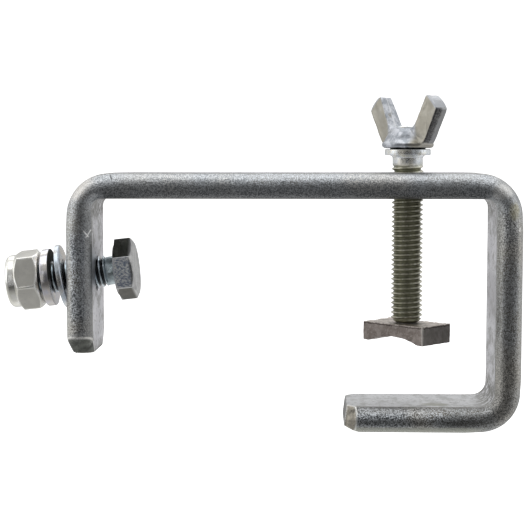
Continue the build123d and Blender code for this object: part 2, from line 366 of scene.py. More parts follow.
def tip_cut(section, clip, bevel, slant):
    """How far back from the bar's end each point of a section lies, on the end's cut faces."""
    across, outward = section.T
    square = slant * (BAR_HALF - outward) / BAR_THICKNESS
    sag = EDGE_RADIUS - np.sqrt(np.maximum(EDGE_RADIUS**2 - outward**2, 0))
    deep = np.abs(across) + CLIP_FOLLOW * sag - (BAR_HALF_WIDTH - clip[1])
    clipped = deep * clip[0] / clip[1] + square / 2
    bevelled = (outward - (BAR_HALF - bevel[1])) * bevel[0] / bevel[1]
    ease = 0.22
    return ease * np.log(np.exp(np.stack([square, clipped, bevelled]) / ease).sum(axis=0))


def bar_row(point, direction, bend, press, section, cut_back):
    """One section of the bar placed on its middle line, flared and thinned by the bend."""
    outward = np.array([-direction[1], direction[0]])
    inner = np.clip(-section[:, 1] / BAR_HALF, -1, 1)
    across = section[:, 0] * (1 + bend * BEND_FLARE * inner)
    thin = 1 - bend * BEND_THINNING * (inner < 0)
    offset = section[:, 1] * thin + press * (1 + inner) / 2
    plane = point + np.outer(offset, outward) + np.outer(np.broadcast_to(cut_back, offset.shape), direction)
    return np.column_stack([plane[:, 0], across, plane[:, 1]])


def roughen(vertices):
    """Rolled-bar waviness, with the edges a little more uneven than the flats."""
    out = []
    for x, y, z in vertices:
        edge = float(smooth_step(BAR_HALF_WIDTH - 4.5, BAR_HALF_WIDTH - 3.0, abs(y)))
        slow = noise.noise(Vector((x, y, z)) * 0.11)
        quick = noise.noise(Vector((x, y, z)) * 0.45)
        amount = 0.05 * slow + (0.03 + 0.07 * edge) * quick
        inset = edge * (0.14 + amount)
        out.append((x, y - math.copysign(inset, y), z))
    return out


def tip_rows(point, direction, tip, sign):
    """Sections over a tip's end, from its middle outward."""
    rows = []
    for inset in TIP_INSETS:
        inner = bar_section(inset)
        lift = TIP_LIFT if inset < TIP_ROUND else 0.0
        rows.append(bar_row(point, direction, 0.0, 0.0, inner, sign * (tip_cut(inner, *tip) + lift)))
    return rows


def make_bar():
    """The hook, swept along its bends, with finished tips and both holes."""
    stations = bar_stations()
    section = bar_section()
    tips = [(*stations[end][:2], tip, sign) for end, tip, sign in ((0, LEG_TIP, 1), (-1, LIP_TIP, -1))]
    rows = tip_rows(*tips[0])
    for station in stations:
        cut_back = 0.0
        for end, _, tip, sign in tips:
            gone = np.linalg.norm(station[0] - end)
            if gone < TIP_REACH:
                cut_back = sign * np.maximum(tip_cut(section, *tip) + TIP_ROUND - gone, 0)
        rows.append(bar_row(*station, section, cut_back))
    rows += tip_rows(*tips[1])[::-1]
    width = len(section)
    faces = grid_faces(len(rows), width) + end_cap(0, width) + end_cap((len(rows) - 1) * width, width)
    bar = add_object("bar", roughen(np.concatenate(rows)), faces)
    cut_hole(bar, Vector((0, 0, BAR_HIGH[2] - BAR_HALF)), Vector((0, 0, 1)), SCREW_HOLE_RADIUS)
    cut_hole(bar, YOKE_CENTRE / MM, Vector((1, 0, 0)), YOKE_HOLE_RADIUS)
    return finish_mesh(bar, 32.0)


def end_cap(start, width):
    """Quads across the middle sliver of a tip, joining opposite sides of its innermost row."""
    pairs = []
    middle = EDGE_STEPS // 2
    for step in range(width // 2):
        corners = (middle + step, middle + step + 1, middle - step - 1, middle - step)
        pairs.append(tuple(dict.fromkeys(start + corner % width for corner in corners)))
    return [pair for pair in pairs if len(pair) > 2]


def cut_hole(obj, centre, axis, radius):
    """Drills a hole with both mouths broken."""
    angles = even_angles(72)
    flare, mouth, throat = radius + 3 * HOLE_CHAMFER, BAR_HALF + 2 * HOLE_CHAMFER, BAR_HALF - HOLE_CHAMFER
    half = [(radius, throat), (flare, mouth), (0, mouth)]
    profile = [(r, -z) for r, z in reversed(half)] + half
    place = Matrix.Translation(centre * MM) @ axis.to_track_quat("Z", "Y").to_matrix().to_4x4()
    combine(obj, lathe("cutter", sharp(profile, angles), angles, place=place), "DIFFERENCE")


# ---------------------------------------------------------------- clamping screw, head and pad

def make_screw():
    """Threaded screw with its neck, collar and peened spigot."""
    angles = even_angles(96)
    tip_z = SCREW_LOW[2]
    neck_z, neck_radius = SCREW_NECK
    collar_foot, collar_top, collar_radius = SCREW_COLLAR
    land_top, land_radius = SCREW_LAND
    foot = rounded([(0, tip_z), (3.4, tip_z), (3.5, tip_z + 0.05)], 0.2, angles)
    thread = thread_rows(tip_z + 0.05, neck_z, 3.5, neck_radius, angles)
    upper = rounded([
        (neck_radius, neck_z), (neck_radius, collar_foot - 0.55), (neck_radius + 0.75, collar_foot),
        (collar_radius, collar_foot), (collar_radius, collar_top), (land_radius, collar_top),
        (land_radius, land_top), (3.0, land_top), (3.0, SCREW_HIGH[2] - 1.6),
        (PEEN_RADIUS, SCREW_HIGH[2] - 0.5), (PEEN_RADIUS * 0.75, SCREW_HIGH[2] - 0.05), (0, SCREW_HIGH[2]),
    ], 0.35, angles)
    return lathe("screw", foot + thread + upper, angles)


def wing_outline():
    """(radius, height) outline of one wing, from its root round its bulging end."""
    return [(1.0, 80.4), (8.0, 80.4), (9.0, 80.9), (9.8, 81.8), (10.5, 82.9), (14.35, 90.3), (14.75, 91.2),
            (14.65, 91.7), (13.9, 92.85), (12.95, 93.95), (12.1, 94.75), (11.3, 95.35), (10.6, 95.65),
            (10.05, 95.55), (9.65, 95.0), (6.5, 88.2), (5.9, 87.1), (5.1, 86.2), (4.0, 85.6), (1.0, 85.4)]


def make_blade():
    """One wing as a slab, thicker at its root, leaning out to +X."""
    outline = wing_outline()
    vertices = []
    for face in (-1, 1):
        for radius, height in outline:
            half = 2.3 + 0.7 * smooth_step(9.5, 6.0, radius) + 0.12 * smooth_step(11, 14, radius)
            vertices.append((radius, face * half, height))
    count = len(outline)
    faces = [tuple(range(count)), tuple(range(2 * count - 1, count - 1, -1))]
    for index in range(count):
        after = (index + 1) % count
        faces.append((index, after, count + after, count + index))
    blade = add_object("blade", vertices, faces)
    modify(blade, "BEVEL", width=0.28 * MM, segments=3, limit_method="ANGLE", angle_limit=math.radians(50))
    return apply_modifiers(blade)


def cast_surface(point, normal):
    """Lumps and flow marks of a small casting."""
    dents = 0.03 + 0.05 * float(smooth_step(7.5, 6.0, math.hypot(point[0], point[1])))
    lump = noise.noise(Vector(point) * 0.35) * 0.10 + noise.noise(Vector(point) * 0.9) * dents
    return normal * (lump - 0.03)


def make_head():
    """Cast head: a ringed boss with two wings, fused and softened like a casting."""
    angles = even_angles(96)
    foot = HEAD_LOW[2]
    boss = lathe("head", rounded([
        (0, foot), (7.2, foot), (7.9, foot + 0.4), (8.15, foot + 0.9), (8.1, foot + 1.5), (7.6, foot + 2.0),
        (7.1, foot + 2.7), (6.5, foot + 4.0), (5.5, foot + 5.5), (4.6, foot + 6.3), (0, foot + 6.4),
    ], 0.4, angles), angles)
    for turn in (0.0, math.pi):
        blade = make_blade()
        turn_mesh(blade, turn)
        combine(boss, blade, "UNION")
    return roughen_surface(boss, 0.17, 4, cast_surface, WING_TURN)


def solid_box(name, low, high):
    """Closed box between two corners."""
    corners = [(x, y, z) for z in (low[2], high[2]) for y in (low[1], high[1]) for x in (low[0], high[0])]
    faces = [(0, 2, 3, 1), (4, 5, 7, 6), (0, 1, 5, 4), (2, 6, 7, 3), (0, 4, 6, 2), (1, 3, 7, 5)]
    return add_object(name, corners, faces)


def plain_cylinder(name, foot, top, radius, place=Matrix.Identity(4)):
    """Closed cylinder along Z."""
    angles = even_angles(160)
    rows = sharp([(0, foot), (radius, foot), (radius, top), (0, top)], angles)
    return lathe(name, rows, angles, place=place)


def sawn_surface(point, normal):
    """Worn faces, and a ragged burr standing along the top edges."""
    x, y, z = point
    rim = max(abs(x) - (PAD_SIZE[0] / 2 - 0.8), abs(y) - (PAD_SIZE[1] / 2 - 0.8), 0) / 0.8
    slow, quick = noise.noise(Vector((x * 0.7, y * 0.7, 3.0))), noise.noise(Vector((x * 2.1, y * 2.1, 7.0)))
    burr = 0.16 + 0.34 * (slow + 0.6 * quick)
    wear = noise.noise(Vector(point) * 0.5) * 0.10 + noise.noise(Vector(point) * 1.7) * 0.04
    shift = normal * (wear - 0.06)
    if z > PAD_HIGH[2] - 0.5:
        shift = shift + np.array((0.0, 0.0, burr * rim**2))
    return shift


def make_pad():
    """Sawn saddle block with burred top edges."""
    length, breadth = PAD_SIZE
    bottom, top = PAD_LOW[2], PAD_HIGH[2] - 0.12
    pad = solid_box("pad", (-length / 2, -breadth / 2, bottom), (length / 2, breadth / 2, top))
    radius, depth = SADDLE
    centre = Vector((0, 0, bottom + depth - radius)) * MM
    lying = Matrix.Translation(centre) @ Matrix.Rotation(math.pi / 2, 4, "X")
    combine(pad, plain_cylinder("saddle", -breadth, breadth, radius, lying), "DIFFERENCE")
    combine(pad, plain_cylinder("counterbore", bottom - 1, bottom + 3.4, 4.1), "DIFFERENCE")
    return roughen_surface(pad, 0.19, 2, sawn_surface, PAD_TURN)


# ---------------------------------------------------------------- yoke bolt and what is on it

def on_bolt(station, turn=0.0, flip=False, lean=0.0, yaw=0.0):
    """Place on the bolt: local Z along it towards its head, local X up, then turned about it."""
    up = Vector((-YOKE_AXIS.z, 0, YOKE_AXIS.x))
    side = YOKE_AXIS.cross(up)
    basis = Matrix((up, side, YOKE_AXIS)).transposed().to_4x4()
    place = Matrix.Translation(YOKE_CENTRE + YOKE_AXIS * station * MM) @ basis
    place = place @ Matrix.Rotation(math.radians(turn), 4, "Z")
    place = place @ Matrix.Rotation(math.radians(yaw), 4, "X") @ Matrix.Rotation(math.radians(lean), 4, "Y")
    if flip:
        place = place @ Matrix.Rotation(math.pi, 4, "X")
    return place


def make_bolt():
    """Hexagon bolt, threaded almost to its head."""
    angles = hex_angles()
    end, top = BOLT_SPAN
    side = hex_radius(angles)
    brow = top - (side - HEX_FACE_RADIUS) * math.tan(BOLT_CHAMFER)
    foot = rounded([(0, end), (3.5, end), (3.6, end + 0.05)], 0.2, angles)
    thread = thread_rows(end + 0.05, BOLT_THREAD_END, 3.6, 4.5, angles)
    upper = rounded([
        (4.5, BOLT_THREAD_END), (4.5, BOLT_BEARING - 0.4), (4.9, BOLT_BEARING),
        (HEX_FACE_RADIUS - 0.1, BOLT_BEARING), (HEX_FACE_RADIUS, BOLT_BEARING + 0.4),
        (side, BOLT_BEARING + 0.4), (side, brow),
        (HEX_FACE_RADIUS, top), (6.4, top - 0.02), (5.9, top - 0.16), (0, top - 0.2),
    ], 0.22, angles)
    return lathe("bolt", foot + thread + upper, angles, place=on_bolt(0, BOLT_TURN))


def make_nut():
    """Lock nut: chamfered hexagon with a collar rolled over its insert."""
    angles = hex_angles()
    side = hex_radius(angles)
    (height, top), collar = NUT_HEIGHT, NUT_COLLAR
    brow_foot = (side - HEX_FACE_RADIUS) * math.tan(NUT_CHAMFER)
    brow_top = height - (side - collar) * math.tan(NUT_CHAMFER)
    outer = rounded([
        (6.0, 0.15), (6.3, 0.0), (HEX_FACE_RADIUS, 0.0), (side, brow_foot), (side, brow_top),
        (collar + 0.05, height), (collar, height + 0.25), (collar, top - 1.3), (8.0, top - 0.6),
        (7.45, top - 0.15), (6.6, top), (5.75, top - 0.2), (5.65, top - 0.7),
        (6.6, top - 0.8), (6.6, top - 3.3), (5.05, top - 3.3), (5.05, top - 3.4),
    ], 0.24, angles)
    bore = thread_rows(0.9, top - 3.4, 5.3, 5.05, angles, sign=-1)[::-1]
    mouth = rounded([(5.3, 0.9), (6.0, 0.15)], 0.1, angles)
    return lathe("nut", outer + bore + mouth, angles, True, on_bolt(NUT_BEARING, NUT_TURN, True))


def make_ring(name, points, ease, segments, place):
    """Round ring of a closed, eased profile."""
    angles = even_angles(segments)
    return lathe(name, rounded(points, ease, angles), angles, True, place)


def make_insert():
    """Locking ring inside the nut's collar."""
    foot, top = NUT_HEIGHT[1] - 3.25, NUT_HEIGHT[1] - 0.85
    inner, outer = 5.02, 6.5
    return make_ring("insert", [
        (inner, foot + 1.0), (inner, top - 0.3), (inner + 0.3, top), (outer, top), (outer, foot),
        (inner + 0.2, foot), (inner, foot + 0.3), (inner, foot + 0.9),
    ], 0.12, 72, on_bolt(NUT_BEARING, 0, True))


def make_plain_washer():
    """Stamped flat washer with one rolled edge."""
    low, high = -0.8, 0.8
    inner, outer = 5.27, 9.97
    return make_ring("washer_plain", [
        (inner, 0.0), (inner, low + 0.2), (inner + 0.1, low), (outer, low), (outer, 0.4),
        (outer - 0.4, high), (inner + 0.35, high), (inner, 0.45), (inner, 0.1),
    ], 0.16, 120, on_bolt(WASHER_STATION, lean=WASHER_LEAN, yaw=WASHER_YAW))


def make_spring_washer():
    """Split ring of rounded square wire, its ends sprung a little apart."""
    inner, outer, half = 5.14, 9.03, 1.3
    gap, slant, spring = math.radians(6.5), 0.12, 0.14
    corners = rounded([
        (inner, 0.0), (inner, -half), (outer, -half), (outer, half), (inner, half), (inner, 0.05),
    ], 0.35, np.zeros(1))
    section = np.array([(row[0][0], row[1][0]) for row in corners])
    turns = np.linspace(gap / 2, 2 * math.pi - gap / 2, 110)
    vertices = []
    for turn in turns:
        lift = spring * (turn / math.pi - 1)
        for radius, height in section:
            angle = turn + slant * height / half * (1 if abs(turn - math.pi) > 2.6 else 0)
            vertices.append((radius * math.cos(angle), radius * math.sin(angle), height + lift))
    width = len(section)
    caps = [tuple(range(width)), tuple(range(len(vertices) - width, len(vertices)))]
    faces = grid_faces(len(turns), width) + caps
    return add_object("washer_spring", vertices, faces, on_bolt(SPRING_STATION, SPRING_TURN))


# ---------------------------------------------------------------- materials

def operator_pair(operation):
    """An operator and its swapped form, each adding a maths node."""
    return lambda a, b: a.nodes.math(operation, a, b), lambda a, b: a.nodes.math(operation, b, a)


class Value:
    """A node's output that takes part in arithmetic."""

    __array_ufunc__ = None
    __add__, __radd__ = operator_pair("ADD")
    __sub__, __rsub__ = operator_pair("SUBTRACT")
    __mul__, __rmul__ = operator_pair("MULTIPLY")
    __truediv__, __rtruediv__ = operator_pair("DIVIDE")
    __mod__, __rmod__ = operator_pair("MODULO")

    def __init__(self, nodes, socket):
        self.nodes, self.socket = nodes, socket

    def __abs__(self):
        return self.nodes.math("ABSOLUTE", self)


class Nodes:
    """Short hand for building the node tree of a new material or world."""

    def __init__(self, name, kind="materials"):
        self.block = getattr(bpy.data, kind).new(name)
        self.block.use_nodes = True
        self.tree = self.block.node_tree
        self.shader = self.tree.nodes.get("Principled BSDF")
        place = self.tree.nodes.new("ShaderNodeTexCoord").outputs
        self.coords, self.normals = Value(self, place["Object"]), Value(self, place["Normal"])
        self.around = Value(self, place["Generated"])

    def feed(self, value, socket):
        """Gives a socket a Value, a colour or a number."""
        if isinstance(value, Value):
            self.tree.links.new(value.socket, socket)
        elif socket.type == "RGBA":
            socket.default_value = (*value, 1.0)
        else:
            socket.default_value = value

    def add(self, kind, output, inputs, **settings):
        """One output of a new node, with its inputs given by name or number."""
        node = self.tree.nodes.new("ShaderNode" + kind)
        for key, value in settings.items():
            setattr(node, key, value)
        for key, value in inputs.items():
            self.feed(value, node.inputs[key])
        return Value(self, node.outputs[output])

    def noise(self, size_mm, detail=3.0, roughness=0.5, stretch=(1, 1, 1), offset=0.0):
        """Fractal noise whose features are about the given size."""
        place = self.add("Mapping", "Vector", {
            "Vector": self.coords, "Scale": [s / (size_mm * MM) for s in stretch],
            "Location": (offset, offset * 1.7, offset * 0.6)})
        return self.add("TexNoise", "Fac", {
            "Vector": place, "Scale": 1.0, "Detail": detail, "Roughness": roughness})

    def ramp(self, source, low, high, low_value=0.0, high_value=1.0):
        """Maps a value range to another, clamped and eased."""
        if low > high:
            low, high, low_value, high_value = high, low, high_value, low_value
        return self.add("MapRange", "Result", {
            "Value": source, "From Min": low, "From Max": high, "To Min": low_value, "To Max": high_value,
        }, interpolation_type="SMOOTHSTEP")

    def math(self, operation, *values):
        return self.add("Math", "Value", dict(enumerate(values)), operation=operation)

    def root(self, value):
        return self.math("SQRT", value)

    def most(self, a, b):
        return self.math("MAXIMUM", a, b)

    def mix(self, factor, a, b):
        """Colour mix; the node's colour sockets are 6, 7 and, as a result, 2."""
        return self.add("Mix", 2, {0: factor, 6: a, 7: b}, data_type="RGBA")

    def layers(self, colour, *layers):
        """A colour with (mask, tint) layers laid over it in turn."""
        for mask, tint in layers:
            colour = self.mix(mask, colour, tint)
        return colour

    def part(self, vector, index):
        return self.add("SeparateXYZ", index, {"Vector": vector})

    def axis(self, index):
        """One object coordinate in millimetres."""
        return self.part(self.coords, index) * (1 / MM)

    def axes(self):
        return tuple(self.axis(index) for index in range(3))

    def facing(self, index):
        """How much the surface faces along one object axis, either way."""
        return abs(self.part(self.normals, index))

    def hex_frame(self, chamfers, slope, width):
        """1 on the edges of a hexagon's flats; chamfers are (height, sign, radius) of its end cones."""
        x, y, z = self.axes()
        sixth = math.pi / 3
        turn = (self.math("ARCTAN2", y, x) + 2 * math.pi) % sixth
        off_corner = sixth / 2 - abs(turn - sixth / 2)
        near_corner = 2 * width / ACROSS_FLATS
        frame_part = self.ramp(off_corner, 1.3 * near_corner, 0.7 * near_corner)
        radius = self.root(x * x + y * y)
        for height, sign, rim in chamfers:
            cone = (radius - rim) * math.tan(slope) - (height - z) * sign
            frame_part = self.most(frame_part, self.ramp(cone, -width, -0.4 * width))
        return frame_part

    def turned_axes(self, degrees):
        """Object coordinates in millimetres, in axes turned about Z."""
        x, y, z = self.axes()
        cos, sin = math.cos(math.radians(degrees)), math.sin(math.radians(degrees))
        return x * cos + y * sin, y * cos - x * sin, z

    def spot(self, axes, centre, radii):
        """1 in the middle of an ellipsoid, fading raggedly to 0 at its edge."""
        total = self.noise(1.6, 3.0, 0.6, offset=13.0) * 0.8
        for value, middle, radius in zip(axes, centre, radii):
            part = (value - middle) / radius
            total = total + part * part
        return self.ramp(total, 1.5, 0.5)

    def marks(self, axes, rows):
        """Layers of (centre, radii, tint, strength) spots."""
        return [(self.spot(axes, centre, radii) * strength, tint) for centre, radii, tint, strength in rows]

    def scratch(self, axes, start, run, half_width):
        """1 along a straight scratch seen from the front: start and run are (x, z)."""
        length = math.hypot(*run)
        step_x, step_z = run[0] / length, run[1] / length
        x, z = axes[0] - start[0], axes[2] - start[1]
        along, off = x * step_x + z * step_z, x * step_z - z * step_x
        inside = self.ramp(along, -0.2, 0.2) * self.ramp(along, length, length - 0.6)
        thin = self.ramp(abs(off), half_width, half_width * 0.3)
        return inside * thin * self.ramp(axes[1], -11.0, -12.0)

    def bump(self, height, distance_mm):
        """Relief on the whole surface."""
        relief = self.add("Bump", "Normal", {"Distance": distance_mm * MM, "Height": height})
        self.feed(relief, self.shader.inputs["Normal"])

    def finish(self, colour, roughness, metallic=1.0):
        for name, value in (("Base Color", colour), ("Roughness", roughness), ("Metallic", metallic)):
            self.feed(value, self.shader.inputs[name])
        return self.block


# Marks are (centre, radii, tint, strength), scratches (start, run, tint) in x and z.
# Painted light at the bends: painted shade on the top-right bend, painted highlights on the top-left and
# top-right bends.
BEND_HIGHLIGHTS_AND_SHADE = [
    ((30.5, -14.0, 67.0), (6.0, 8.0, 6.0), (0.28, 0.28, 0.265), 0.45),
    ((-103.0, -13.0, 69.0), (7.0, 6.0, 7.0), (0.98, 0.93, 0.86), 0.6),
    ((27.8, -14.0, 66.4), (3.8, 6.0, 2.8), (0.99, 0.98, 0.95), 0.55),
]
STAINS = [
    ((8.5, -7.0, 0.2), (5.5, 3.2, 1.5), (0.30, 0.30, 0.25), 0.8),
    ((31.5, -15.0, 60.5), (2.2, 3.0, 3.4), (0.40, 0.37, 0.24), 0.6),
    ((-65.0, -13.5, 72.2), (0.9, 2.0, 0.7), (0.08, 0.08, 0.08), 0.9),
    ((4.2, -9.8, 0.2), (2.6, 0.9, 0.9), (0.12, 0.12, 0.11), 0.9),
    ((26.5, 0.0, 34.0), (1.5, 16.0, 10.0), (0.50, 0.49, 0.51), 0.5),
]
SCRATCHES = [
    ((-98.9, 52.2), (1.4, 2.6), (0.93, 0.93, 0.92)), ((-98.2, 52.4), (-1.6, 2.2), (0.93, 0.93, 0.92)),
    ((33.0, 54.2), (0.3, 1.6), (0.93, 0.93, 0.92)), ((-91.5, 71.3), (0.9, -1.6), (0.05, 0.05, 0.05)),
]
CUT_TINTS = [(0.085, 0.09, 0.08), (0.27, 0.25, 0.21)]   # of the leg's cut faces, of the lip's


def bar_speckle(n, edge, calm, z):
    """Edge colour of the bar: mill grain seen through the plate, an even tone in its place where calm is
    high, and a dark speckle for painted shade on the arm's underside.
    """
    grain = n.noise(0.33, 1.5, 0.6)
    coarse = n.noise(0.7, 2.0, 0.6, offset=4.0)
    both = grain * 0.7 + coarse * 0.3
    pits = n.ramp(both, 0.44, 0.57)
    warm = n.ramp(n.noise(20.0, 2.0, offset=7.0), 0.45, 0.7)
    bright = n.mix(warm, (0.80, 0.84, 0.88), (0.86, 0.83, 0.77))
    brown = n.ramp(n.noise(9.0, 2.0, offset=1.0), 0.4, 0.7)
    dark = n.mix(brown, (0.135, 0.145, 0.155), (0.20, 0.185, 0.16))
    # Even tone in place of the grain: a painted sheen where the edge turns away from the front, darker
    # towards the lip as painted shade, bluish along the arm.
    even_tone = n.mix(n.ramp(z, -2.0, 12.0), (0.34, 0.33, 0.305), (0.58, 0.57, 0.525))
    even_tone = n.mix(n.ramp(z, 55.0, 66.0), even_tone, (0.52, 0.545, 0.575))
    relief = (grain + coarse * 0.8) * (edge * (0.85 - calm * 0.5) + 0.1)
    # Dark speckle for the painted shade on the arm's underside.
    foot = n.mix(pits, (0.045, 0.048, 0.052), (0.20, 0.205, 0.21))
    return n.mix(calm, n.mix(pits, dark, bright), even_tone), foot, relief, grain


def bar_flat(n, axes):
    """Flat faces: even plate with clouds, smudges, a few pits, crumpled plating inside the bends, and
    painted shade darkening the lip's flats under the arm.
    """
    clouds = n.ramp(n.noise(14.0, 4.0, 0.6, offset=2.0), 0.35, 0.68)
    smudges = n.ramp(n.noise(4.0, 5.0, 0.72, stretch=(1.0, 0.6, 1.0), offset=14.0), 0.47, 0.62)
    pits = n.ramp(n.noise(1.1, 2.0, 0.6, offset=9.0), 0.61, 0.67)
    crumple = n.ramp(n.noise(1.5, 4.0, 0.7, offset=21.0), 0.42, 0.54) * 0.9
    hollows = [(n.spot(axes, (x, 0.0, z), (6.0, 40.0, 5.4)) * crumple, (0.20, 0.195, 0.175))
               for x, z in ((-96.0, 61.6), (25.0, 61.6), (25.2, 3.2))]
    return n.layers(
        n.mix(clouds, (0.74, 0.74, 0.77), (0.90, 0.90, 0.93)),
        (smudges * 0.75, (0.40, 0.40, 0.39)),
        (pits * 0.8, (0.25, 0.245, 0.235)),
        # Painted shade: the flats darker at the bottom, on the lip under the arm.
        (n.ramp(axes[2], 2.5, 0.5, 0.0, 0.45), (0.40, 0.41, 0.40)),
        *hollows)


def bar_tip(n, x, z, side):
    """Masks for the leg's tip and the lip's tip: cut corner faces, the burr above them, the outline."""
    slanted = (z + BAR_THICKNESS) * (LIP_SLANT / BAR_THICKNESS / 2)
    leg = (z - LEG_TIP_Z, x - YOKE_CENTRE.x / MM, LEG_CLIP, n.ramp(x, -90.0, -92.0))
    lip = (x - LIP_TIP_X - slanted, z + BAR_HALF, LIP_CLIP, n.ramp(z, 4.0, 2.0))
    masks = []
    for along, offset, clip, guard in (leg, lip):
        sag = EDGE_RADIUS - n.root(n.most(EDGE_RADIUS**2 - offset * offset, 0.0))
        inward = BAR_HALF_WIDTH - side - sag * CLIP_FOLLOW
        total = along / clip[0] + inward / clip[1]
        brow = n.ramp(total, 1.04, 1.12) * n.ramp(total, 1.24, 1.15)
        masks.append([mask * guard for mask in (n.ramp(total, 1.10, 1.04), brow, n.ramp(along, 0.9, 0.25))])
    return masks


def bar_edge_layers(n, axes, foot):
    """Places along the rolled edge that are darker, calmer or brighter than the rest of it: painted shade
    on the post's front, inside the leg, on the arm's underside, where the edge faces up or down and along
    the lip's middle; painted highlights and shade at the bends; painted light on the lip's lower band.
    """
    x, _, z = axes
    # Painted shade on the post's edge where it faces the front.
    post_front_shade = n.ramp(x - z * 0.35, 8.0, 16.0) * n.ramp(n.facing(1), 0.70, 0.95, 0.25, 0.62)
    # Painted shade on the inner half of the leg's edge, stronger further down.
    leg_inner_shade = n.ramp(x, -102.6, -99.8) * n.ramp(x, -92.0, -95.0)
    # Painted shade on the lower half of the arm's edge.
    arm_underside_shade = n.ramp(z, 68.7, 65.4) * n.ramp(z, 60.0, 64.0)
    across = n.ramp(x, -98.0, -92.0) * n.ramp(x, 28.0, 22.0)
    lip = n.ramp(x, 26.0, 18.0) * n.ramp(z, 4.0, 2.0)
    # Painted light on the lower band of the lip's edge.
    lip_lower_band_light = n.ramp(z, -5.5, -6.3) * n.ramp(z, -7.85, -7.65)
    return [
        (post_front_shade, (0.14, 0.135, 0.125)),
        (leg_inner_shade * n.ramp(z, 66.0, 58.0, 0.0, 0.6), (0.15, 0.16, 0.18)),
        # Dark speckle laid on the arm's underside as painted shade.
        (arm_underside_shade * across * 0.9, foot),
        # Painted shade where the edge faces up or down.
        (n.ramp(n.facing(2), 0.82, 0.97, 0.0, 0.6), (0.10, 0.097, 0.092)),
        # Painted highlights and painted shade at the bends.
        *n.marks(axes, BEND_HIGHLIGHTS_AND_SHADE),
        # Painted shade along the middle of the lip's edge.
        (lip * n.ramp(abs(z + 4.5), 1.5, 0.5, 0.0, 0.45), (0.07, 0.068, 0.062)),
        # Painted light on the lower band of the lip's edge.
        (lip * lip_lower_band_light * 0.8, (0.44, 0.45, 0.395)),
    ]


def bar_material():
    """Zinc plate over rolled bar: even flats with faint clouds, and grainy glittering edges."""
    n = Nodes("zinc_bar")
    x, y, z = axes = n.axes()
    side = abs(y)
    seam = side + n.noise(3.0, 2.0, offset=6.0) * 0.5 - (BAR_HALF_WIDTH - BAR_EDGE_DEPTH + 0.1)
    edge = n.ramp(seam, -0.2, 0.35)
    rim_line = n.ramp(seam, -0.45, -0.1) * n.ramp(seam, 0.05, 0.4, 1.0, 0.0)
    arm = n.ramp(z + n.ramp(x, -90.0, -104.0) * 9.0, 58.0, 65.0)
    # Where the edge turns away from the front, an even tone replaces the grain as a painted sheen.
    turned_away = n.ramp(n.facing(1), 0.95, 0.74, 0.0, 0.5) * n.ramp(z, -2.0, 10.0, 0.6, 1.0)
    edge_colour, foot, relief, grain = bar_speckle(n, edge, n.most(turned_away, arm * 0.42), z)
    edge_colour = n.layers(edge_colour, *bar_edge_layers(n, axes, foot))
    scratches = [(n.scratch(axes, start, run, 0.25) * 0.85, tint) for start, run, tint in SCRATCHES]
    dark_line, bright_line = (0.09, 0.088, 0.075), (0.95, 0.94, 0.90)
    tips, even = [], 1.0
    for (cut, brow, outline), tint in zip(bar_tip(n, x, z, side), CUT_TINTS):
        patches = n.ramp(n.noise(1.8, 4.0, 0.65, offset=31.0), 0.4, 0.62)
        uneven = n.mix(patches, tint, tuple(1.9 * c for c in tint))
        tips += [(cut * 0.94, uneven), (outline * 0.8, dark_line), (brow * 0.8, bright_line)]
        even = even - cut * 0.8
    colour = n.layers(
        n.mix(edge, bar_flat(n, axes), edge_colour), (rim_line * 0.75, (0.20, 0.19, 0.15)),
        *n.marks(axes, STAINS), *scratches, *tips)
    n.bump(relief * even, 0.2)
    return n.finish(colour, grain * 0.2 + (0.34 - edge * 0.14))


def fastener_look(n, base, alternate, dark, roughness, blotch_mm):
    """Plated fastener's colour and roughness: two tints in blotches, dark specks, and a fine grain."""
    blotches = n.ramp(n.noise(blotch_mm, 3.0, 0.55), 0.38, 0.64)
    specks = n.ramp(n.noise(0.8, 3.0, 0.7, offset=5.0), 0.62, 0.74)
    grain = n.noise(0.3, 2.0, 0.6, offset=3.0)
    n.bump(grain, 0.012)
    return n.mix(specks, n.mix(blotches, base, alternate), dark), grain * 0.12 + specks * 0.12 + roughness


def fastener_material(name, *look):
    """Plated or bare fastener, the same all over."""
    n = Nodes(name)
    return n.finish(*fastener_look(n, *look))


def spring_material(name, *look):
    """Bright spring washer, darker below as painted shade, with a painted shadow, near black, matte and not
    metallic, on the upper half of the face turned to the leg.
    """
    n = Nodes(name)
    base, _ = fastener_look(n, *look)
    x, y, z = n.axes()
    turn = math.radians(SPRING_TURN)
    up = x * math.cos(turn) - y * math.sin(turn)
    # Painted shade: darker towards the bottom.
    base = n.mix(n.ramp(up, -3.0, -8.0, 0.0, 0.5), base, (0.42, 0.40, 0.38))
    # Painted shadow on the upper half of the face turned to the leg.
    painted_shadow = n.ramp(z, 0.95, 1.12) * n.ramp(up, -3.0, 0.5)
    rough = n.ramp(painted_shadow, 0.0, 1.0, 0.18, 0.8)
    return n.finish(n.mix(painted_shadow, base, (0.025, 0.025, 0.02)), rough, 1.0 - painted_shadow)


